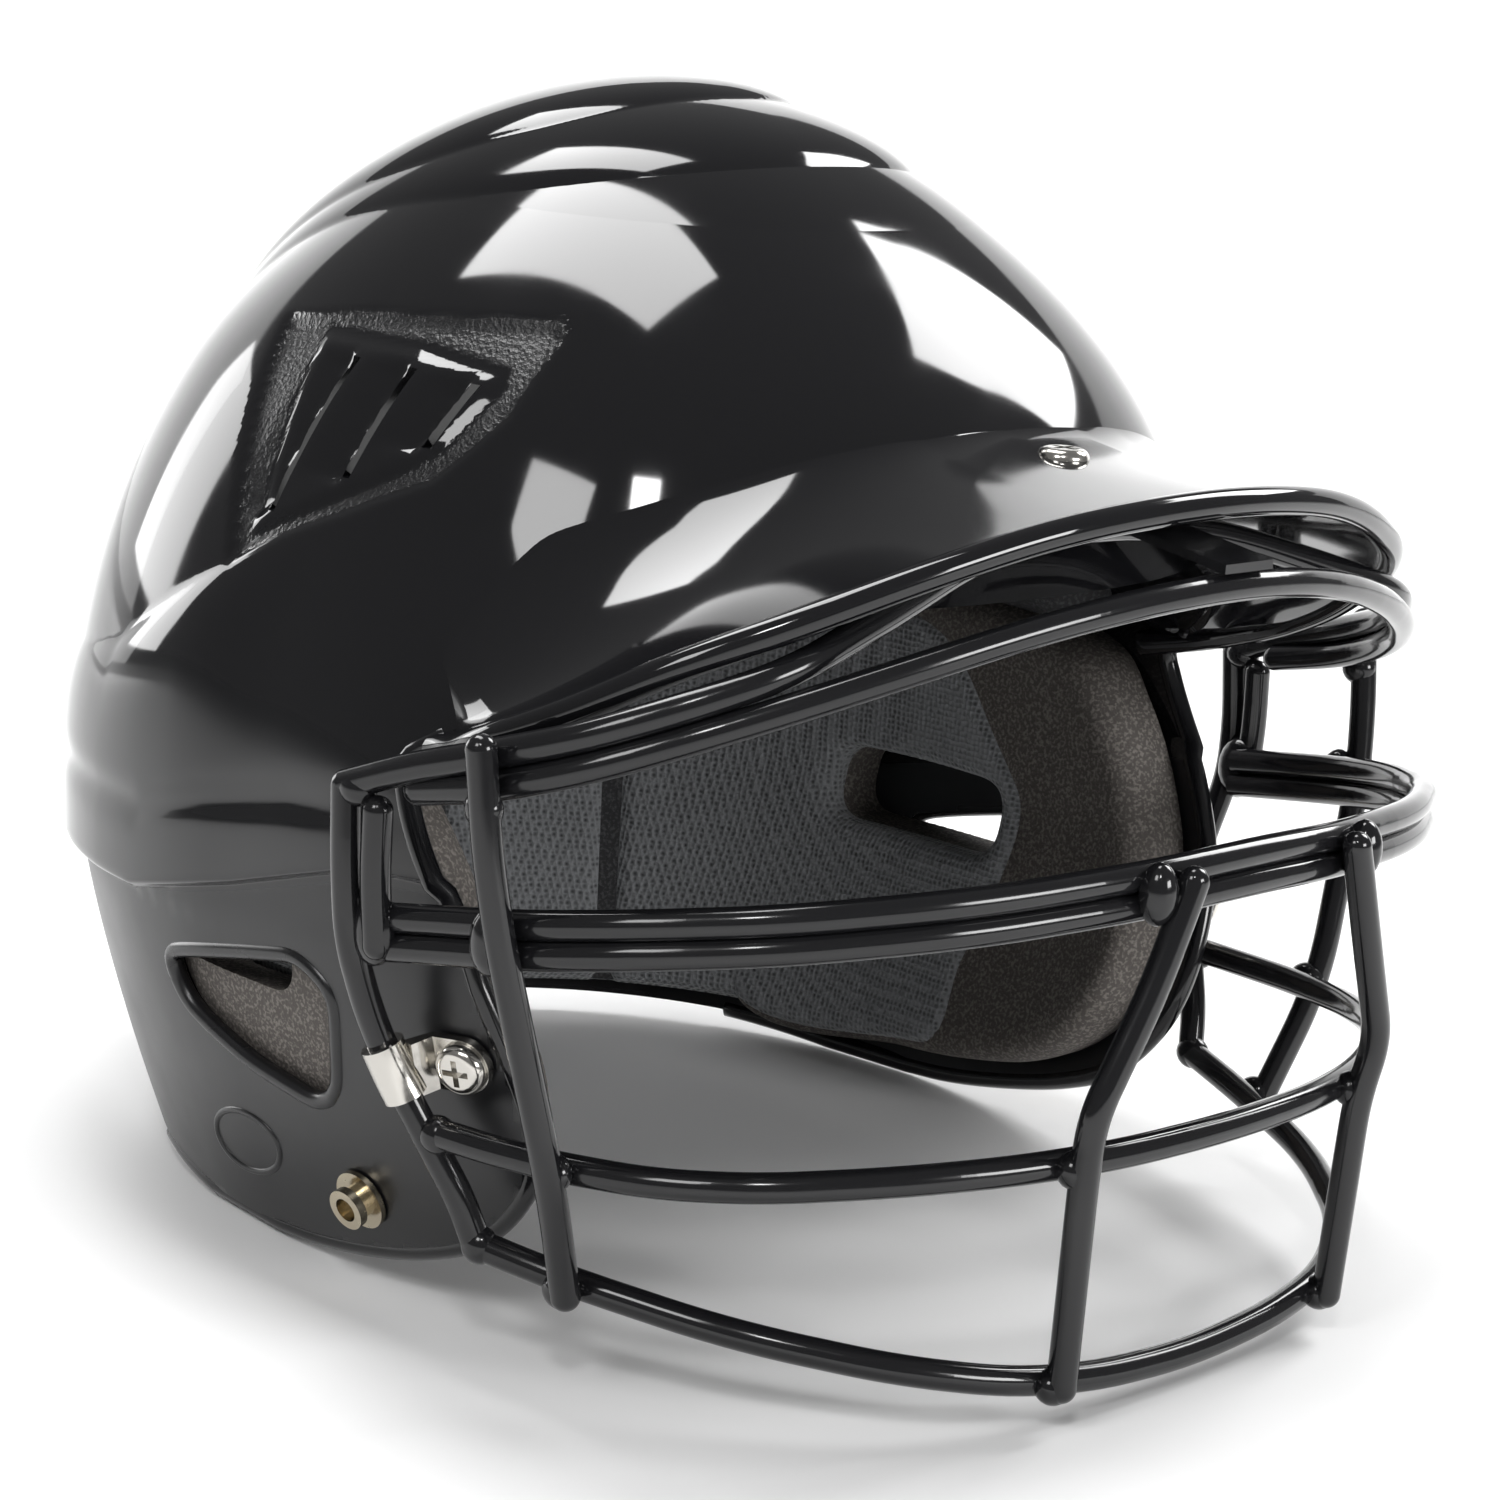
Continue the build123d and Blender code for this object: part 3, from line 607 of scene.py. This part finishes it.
def make_bill():
    """The bill with its concave flare, and the rolled lip."""
    count = 200
    lip = smooth(mirrored(LIP_HALF), count)
    half_run, total = run_along(LIP_HALF), run_along(lip)
    end = half_run[-1]
    run = np.clip(np.abs(total - total[-1] / 2), 0, end)
    rise = np.interp(run, half_run, FLARE_RISE)
    root_x = lip[:, 0] * np.interp(run, half_run, ROOT_SHARE)
    root_z = lip[:, 2] - 0.5
    widest = HALF_WIDTH * upper_factor(root_z) - 3.0
    root_x = np.clip(np.abs(root_x), 0, widest) * np.sign(root_x)
    root = np.stack([root_x, front_y(root_x, root_z), root_z], axis=-1)
    upper_z = root_z + rise
    widest = HALF_WIDTH * upper_factor(upper_z) - 1.2
    upper_x = np.clip(np.abs(root_x), 0, widest) * np.sign(root_x)
    upper = np.stack([upper_x, front_y(upper_x, upper_z, 0.6), upper_z], axis=-1)
    sink = np.ones((count, 3))
    sink[:, 0] -= END_SINK * step(run, end - 34, end - 10)
    lip, root, upper = lip * sink, root * sink, upper * sink
    start = lip + [0, 0, BILL_ABOVE]
    inner_x = root_x * 0.985
    inner_root = np.stack([inner_x, front_y(inner_x, root_z, WALL * 0.6), root_z], axis=-1)
    steps = 22
    rows = []
    for t in np.linspace(0, 1, steps):
        bend = 2 * t * (1 - t) * (root + [0, 0, 1.5])
        rows.append((1 - t) ** 2 * start + bend + t * t * upper)
    for t in np.linspace(0, 1, steps):
        rows.append((lip - [0, 0, BILL_BELOW]) * t + (inner_root - [0, 0, 1.5]) * (1 - t))
    rows = np.array(rows)[:, run < end - 8]
    count = rows.shape[1]
    verts = rows.reshape(-1, 3)
    faces = grid_faces(2 * steps, count, False)
    last = (2 * steps - 1) * count
    for c in range(count - 1):
        faces.append([last + c, last + c + 1, c + 1, c])
    faces.append([r * count for r in range(2 * steps)][::-1])
    faces.append([r * count + count - 1 for r in range(2 * steps)])
    plate = new_piece("bill_plate", verts, faces, black, "shell", sharp=60)
    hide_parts("shell")
    roll = new_piece("bill_lip", *tube_mesh(lip, LIP_RADIUS, 20), black, "shell", sharp=60)
    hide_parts("shell")


def on_flap(curve, side, inset):
    """A (y, z) curve laid on one flap."""
    x = flap_x(curve[:, 0], curve[:, 1], inset)
    return np.stack([side * x, curve[:, 0], curve[:, 1]], axis=-1)


def make_beads(name, side):
    """Bead along the flap's edge, rim of the ear opening and a plain oval ring below it."""
    edge = np.vstack([FLAP_CURVE, smooth(REAR_RIM[:2], 12)])
    loop = smooth(EAR_OUTLINE[::2], 120, closed=True)
    turn = np.linspace(0, 2 * math.pi, 48, endpoint=False)
    oval_z = 16 + 6.2 * np.sin(turn) - 0.15 * 10 * np.cos(turn)
    oval = np.stack([23 + 10.0 * np.cos(turn), oval_z], axis=-1)
    for label, curve, inset, radius, sides, closed, satin in (
        ("flap_bead_", edge, 1.6, 2.0, 16, False, 0.35),
        ("ear_rim_", loop, 0.9, 1.7, 12, True, 0.8),
        ("flap_oval_", oval, 0.35, 0.8, 8, True, 0.9),
    ):
        verts, faces = tube_mesh(on_flap(curve, side, inset), radius, sides, closed)
        bead = new_piece(label + name, verts, faces, black, "shell", sharp=60)
        add_attribute(bead, "satin", np.full(len(verts), satin))
        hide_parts("shell")


make_shell()
make_bill()
for name, side in (("left", 1), ("right", -1)):
    make_beads(name, side)


# ---- liner ----
EAR_PAD_THICKNESS = 14.0
UPPER_PAD_THICKNESS = 12.0
ARC_RADIUS = 95
EAR_PAD_OUTLINE = [(58, 98), (-14, 98), (-24, 88), (-32, 76), (-38, 62), (-42, 49), (-42, 38)]
EAR_PAD_OUTLINE += [(-39, 29), (-32, 20), (-21, 13), (-8, 9), (14, 6), (58, 7)]
FABRIC_OUTLINE = [(57, 96), (24, 96), (5, 76), (-4, 62), (-3, 45), (2, 26), (3, 12), (14, 9), (57, 10)]
HOLE_OUTLINE = [(3, 49.5), (47, 49.5), (47, 65.5), (3, 65.5)]
HOLE_MIDDLE = np.array([25.0, 57.5])


def loop_at_angles(outline, centre, count):
    """Where rays from a centre meet a closed outline."""
    corners = np.array(outline, float)
    after = np.roll(corners, -1, 0)
    shares = np.linspace(0, 1, 12, endpoint=False)[:, None]
    points = np.vstack([a + (b - a) * shares for a, b in zip(corners, after)]) - centre
    angle = np.unwrap(np.arctan2(points[:, 1], points[:, 0]))
    if angle[-1] < angle[0]:
        points, angle = points[::-1], angle[::-1]
    shift = angle[0]
    angle = np.append(angle, angle[0] + 2 * math.pi)
    radius = np.append(np.hypot(points[:, 0], points[:, 1]), np.hypot(*points[0]))
    want = (np.linspace(0, 2 * math.pi, count, endpoint=False) - shift) % (2 * math.pi) + shift
    r = np.interp(want, angle, radius)
    return np.stack([centre[0] + r * np.cos(want), centre[1] + r * np.sin(want)], axis=-1)


def against_skirt(curve, side, inset):
    y, z = curve[:, 0], curve[:, 1]
    return np.stack([side * skirt_x(y, z, inset), y, z], axis=-1)


def ring_pad(name, side, outer, low, high, edge, material, slot, node):
    """Pad round the ear hole, lying against the flap, with softly rounded edges."""
    count, steps = 160, 26
    out = loop_at_angles(smooth(outer, 400, closed=True), HOLE_MIDDLE, count)
    hole = loop_at_angles(rounded(HOLE_OUTLINE, 7, 12), HOLE_MIDDLE, count)
    verts = []
    shares = (1 - np.cos(np.linspace(0, math.pi, steps))) / 2
    wall = [hole + (out - hole) * s for s in shares]
    for curve in wall:
        verts.append(against_skirt(curve, side, low))
    for curve in wall[::-1]:
        from_hole = np.linalg.norm(curve - hole, axis=1)
        from_out = np.linalg.norm(curve - out, axis=1)
        near = np.clip(np.minimum(from_hole, from_out) / edge, 0, 1)
        thick = (high - low) * (0.25 + 0.75 * np.sqrt(1 - (1 - near) ** 2))
        verts.append(against_skirt(curve, side, low + thick))
    rows = len(verts)
    verts = np.vstack(verts)
    faces = grid_faces(rows, count, True, flip=side > 0)
    for c in range(count):
        d = (c + 1) % count
        face = [(rows - 1) * count + c, (rows - 1) * count + d, d, c]
        faces.append(face[::-1] if side > 0 else face)
    pad = new_piece(name, verts, faces, material, slot, sharp=70)
    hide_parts(node)


def patch_pad(name, angles, heights, low, high, edge, lower, material, slot, node, seams=()):
    """Pad over a stretch of the shell's inside, thinning towards its borders and its seams."""
    columns, rows = 110, 40
    angle = np.radians(np.linspace(*angles, columns))
    verts = []
    for layer in (0, 1):
        for z in np.linspace(*heights, rows):
            reach_z = min(z - heights[0], heights[1] - z)
            arc = np.minimum(angle - angle[0], angle[-1] - angle) * ARC_RADIUS
            near = np.clip(np.minimum(arc, reach_z) / edge, 0, 1)
            thick = (high - low) * (0.2 + 0.8 * np.sqrt(1 - (1 - near) ** 2))
            for seam in seams:
                gap = (angle - math.radians(seam)) * ARC_RADIUS
                thick = thick - 0.55 * (high - low) * np.exp(-((gap / 2.4) ** 2))
            inset = low + thick * layer
            if lower:
                verts.append(ring_points(angle, z, lower_factor(z), inset))
            else:
                factor = np.array([float(upper_factor(z, i)) for i in inset])
                verts.append(ring_points(angle, z, factor, inset * factor))
    verts = np.vstack(verts)
    half = columns * rows
    faces = grid_faces(rows, columns, False)
    faces += grid_faces(rows, columns, False, half, flip=True)
    border = list(range(columns)) + [r * columns + columns - 1 for r in range(1, rows)]
    border += list(range(half - 2, half - columns - 1, -1))
    border += [r * columns for r in range(rows - 2, 0, -1)]
    for a, b in zip(border, border[1:] + border[:1]):
        faces.append([b, a, a + half, b + half])
    pad = new_piece(name, verts, faces, material, slot, sharp=70)
    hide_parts(node)


face = INSET + EAR_PAD_THICKNESS
upper = INSET + UPPER_PAD_THICKNESS
foam, cloth = (liner_foam, "liner_foam"), (knit, "mesh_fabric")
for name, side in (("left", 1), ("right", -1)):
    ring_pad("ear_cushion_" + name, side, EAR_PAD_OUTLINE, INSET, face, 7.0,
             ear_foam, "ear_foam", "ear_pad_" + name)
    ring_pad("ear_facing_" + name, side, FABRIC_OUTLINE, face - 4.0, face + 1.2, 5.0,
             *cloth, "side_fabric_" + name)
patch_pad("rear_cushion", (24, 156), (6, 100), INSET, INSET + 14, 8.0, True, *foam, "rear_pad")
patch_pad("rear_facing", (25, 155), (8, 98), INSET + 10, INSET + 15.2, 7.0, True,
          *cloth, "rear_fabric", seams=(50, 75, 105, 130))
patch_pad("upper_rear_cushion", (24, 156), (103, 158), INSET, upper, 8.0, False,
          *foam, "upper_rear_pad", seams=(65, 115))
patch_pad("front_cushion", (232, 308), (131, 158), INSET, upper, 8.0, False, *foam, "front_pad")
for name, angles in (("left", (-18, 22)), ("right", (158, 198))):
    patch_pad("upper_side_cushion_" + name, angles, (101, 127), INSET, upper, 7.0, False,
              *foam, "upper_side_pad_" + name)


def make_crown_pad():
    """Round cushion under the crown with a shallow ring channel."""
    columns, rows = 96, 30
    angle = np.linspace(0, 2 * math.pi, columns, endpoint=False)
    start, end = math.asin((176 - WIDEST_Z) / DOME_RISE), math.radians(88.5)
    verts = []
    for layer in (0, 1):
        for t in np.linspace(start, end, rows):
            near = min((t - start) * DOME_RISE / 8.0, 1)
            thick = UPPER_PAD_THICKNESS * (0.2 + 0.8 * math.sqrt(1 - (1 - near) ** 2))
            thick -= 4 * math.exp(-(((t - start) * DOME_RISE - 26) / 2.5) ** 2)
            inset = INSET + thick * layer
            z = WIDEST_Z + (DOME_RISE - inset) * math.sin(t)
            verts.append(ring_points(angle, z, math.cos(t), inset * math.cos(t)))
    verts = np.vstack(verts)
    half = rows * columns
    faces = grid_faces(rows, columns, True) + grid_faces(rows, columns, True, half, flip=True)
    for c in range(columns):
        d = (c + 1) % columns
        faces.append([d, c, c + half, d + half])
    last = (rows - 1) * columns
    faces.append([last + c for c in range(columns)])
    faces.append([half + last + c for c in range(columns)][::-1])
    pad = new_piece("crown_cushion", verts, faces, liner_foam, "liner_foam", sharp=70)
    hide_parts("crown_pad")


make_crown_pad()


# ---- pooled vinyl at the welds ----
def drop(name, place, size):
    """Smooth flattened ball of vinyl where two wires are dipped together."""
    columns, rows = 20, 11
    verts = []
    for r in range(rows):
        v = math.pi * (r + 0.5) / rows - math.pi / 2
        for c in range(columns):
            u = 2 * math.pi * c / columns
            unit = (math.cos(v) * math.cos(u), math.cos(v) * math.sin(u), math.sin(v))
            verts.append([p + q * half for p, q, half in zip(place, unit, size)])
    faces = grid_faces(rows, columns, True)
    faces.append(list(range(columns))[::-1])
    faces.append([(rows - 1) * columns + c for c in range(columns)])
    new_piece(name, verts, faces, vinyl, "vinyl_wire", sharp=0)


# Place and half sizes of each weld on the wearer's left.
WELDS = [((28.4, -128.6, 90.6), (3.3, 3.4, 5.4)), ((38.6, -125.2, 44.2), (3.5, 3.3, 3.4))]
WELDS += [((37.4, -124.0, 5.4), (3.4, 3.3, 3.2)), ((117.2, -62.6, 101.0), (2.9, 3.6, 3.4))]
WELDS += [((114.0, -62.6, 78.8), (3.2, 4.0, 5.8)), ((102.8, -68.4, 39.5), (3.0, 3.8, 3.4))]
WELDS += [((95.0, -64.4, 15.9), (2.9, 3.8, 3.2)), ((118.2, -33.0, 98.0), (3.0, 3.8, 3.2))]
WELDS += [((116.0, -36.6, 74.8), (3.3, 4.8, 6.4)), ((103.2, -40.6, 37.8), (3.1, 3.8, 3.4))]
WELDS += [((97.4, -46.2, 18.8), (3.0, 3.6, 3.4))]
for index, (place, size) in enumerate(WELDS):
    for name, side in (("left", 1), ("right", -1)):
        drop(f"weld_{index}_{name}", (side * place[0], place[1], place[2]), size)


# ---- studio ----
MIDDLE = (0, 0, 0.1)
FLOOR_HALF = 40.0
WALL_HALF, WALL_HEIGHT, WALL_GLOW = 2, 0.9, 0.85


def soft_light(name, place, target, width, height, power):
    lamp = bpy.data.lights.new(name, "AREA")
    lamp.shape = "RECTANGLE"
    lamp.size, lamp.size_y = width, height
    lamp.energy = power
    holder = bpy.data.objects.new(name, lamp)
    bpy.context.scene.collection.objects.link(holder)
    holder.location = place
    aim = Vector(target) - Vector(place)
    holder.rotation_mode = "QUATERNION"
    holder.rotation_quaternion = aim.to_track_quat("-Z", "Y")


def panel(name, direction, distance, width, height, power):
    """Softbox seen from the helmet's middle in this direction."""
    aim = Vector(direction).normalized() * distance
    soft_light(name, Vector(MIDDLE) + aim, MIDDLE, width, height, power)


def make_floor():
    mesh = bpy.data.meshes.new("floor")
    corners = [(x * FLOOR_HALF, y * FLOOR_HALF, 0) for x, y in ((-1, -1), (1, -1), (1, 1), (-1, 1))]
    mesh.from_pydata(corners, [], [(0, 1, 2, 3)])
    floor = bpy.data.objects.new("floor", mesh)
    bpy.context.scene.collection.objects.link(floor)
    floor.location = (0, 0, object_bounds()[0].z - 0.0005)
    material, nodes, links, shader = node_material("floor_paper", (0.92, 0.92, 0.92), 0.7)
    paper = noise(nodes, links, 3.0, 2.0)
    links.new(spread(nodes, links, paper.outputs["Fac"], 0.66, 0.74), shader.inputs["Roughness"])
    mesh.materials.append(material)
    floor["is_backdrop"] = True


def make_backdrop():
    """Pale paper wall that closes the set behind the helmet."""
    mesh = bpy.data.meshes.new("backdrop")
    corners = [(-WALL_HALF, 0, 0), (WALL_HALF, 0, 0)]
    corners += [(WALL_HALF, 0, WALL_HEIGHT), (-WALL_HALF, 0, WALL_HEIGHT)]
    mesh.from_pydata(corners, [], [(0, 1, 2, 3)])
    wall = bpy.data.objects.new("backdrop", mesh)
    bpy.context.scene.collection.objects.link(wall)
    wall.location = (1.05, 1.0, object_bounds()[0].z - 0.001)
    wall.rotation_euler = (0, 0, math.radians(-46))
    material, nodes, links, shader = node_material("backdrop_paper", (0.95, 0.95, 0.95), 0.8)
    paper = noise(nodes, links, 3.0, 2.0)
    links.new(spread(nodes, links, paper.outputs["Fac"], 0.76, 0.84), shader.inputs["Roughness"])
    shader.inputs["Emission Color"].default_value = (1, 1, 1, 1)
    shader.inputs["Emission Strength"].default_value = WALL_GLOW
    mesh.materials.append(material)
    wall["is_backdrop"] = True


make_floor()
make_backdrop()
panel("overhead", (0.0, 0.33, 0.94), 1.3, 0.42, 0.95, 13)
panel("right_front", (0.78, -0.12, 0.62), 1.3, 0.5, 0.55, 11)
panel("left_front", (-0.78, -0.17, 0.6), 1.3, 0.36, 0.36, 4)
panel("left_rear", (-0.2, 0.97, 0.18), 1.4, 0.5, 0.5, 4)
panel("front_fill", (0.15, -1.0, 0.3), 1.6, 0.6, 0.4, 12)
panel("camera_fill", (-0.75, -0.62, 0.95), 2.2, 0.25, 0.25, 7)

world = bpy.data.worlds.new("studio")
world.use_nodes = True
world.node_tree.nodes["Background"].inputs["Color"].default_value = (1, 1, 1, 1)
world.node_tree.nodes["Background"].inputs["Strength"].default_value = 0.2
bpy.context.scene.world = world

camera = bpy.data.cameras.new("camera")
camera.lens, camera.sensor_width = 90.0, 36.0
camera.clip_start, camera.clip_end = 0.01, 100.0
eye = bpy.data.objects.new("camera", camera)
bpy.context.scene.collection.objects.link(eye)
right, up = (0.70122, -0.70908, 0.07409), (0.10998, 0.21026, 0.97144)
back, place = (-0.70441, -0.67304, 0.22543), (-0.5021, -0.4871, 0.2460)
columns = zip(right, up, back, place)
eye.matrix_world = Matrix([*columns, (0, 0, 0, 1)])
bpy.context.scene.camera = eye
bpy.context.scene.view_settings.view_transform = "Standard"
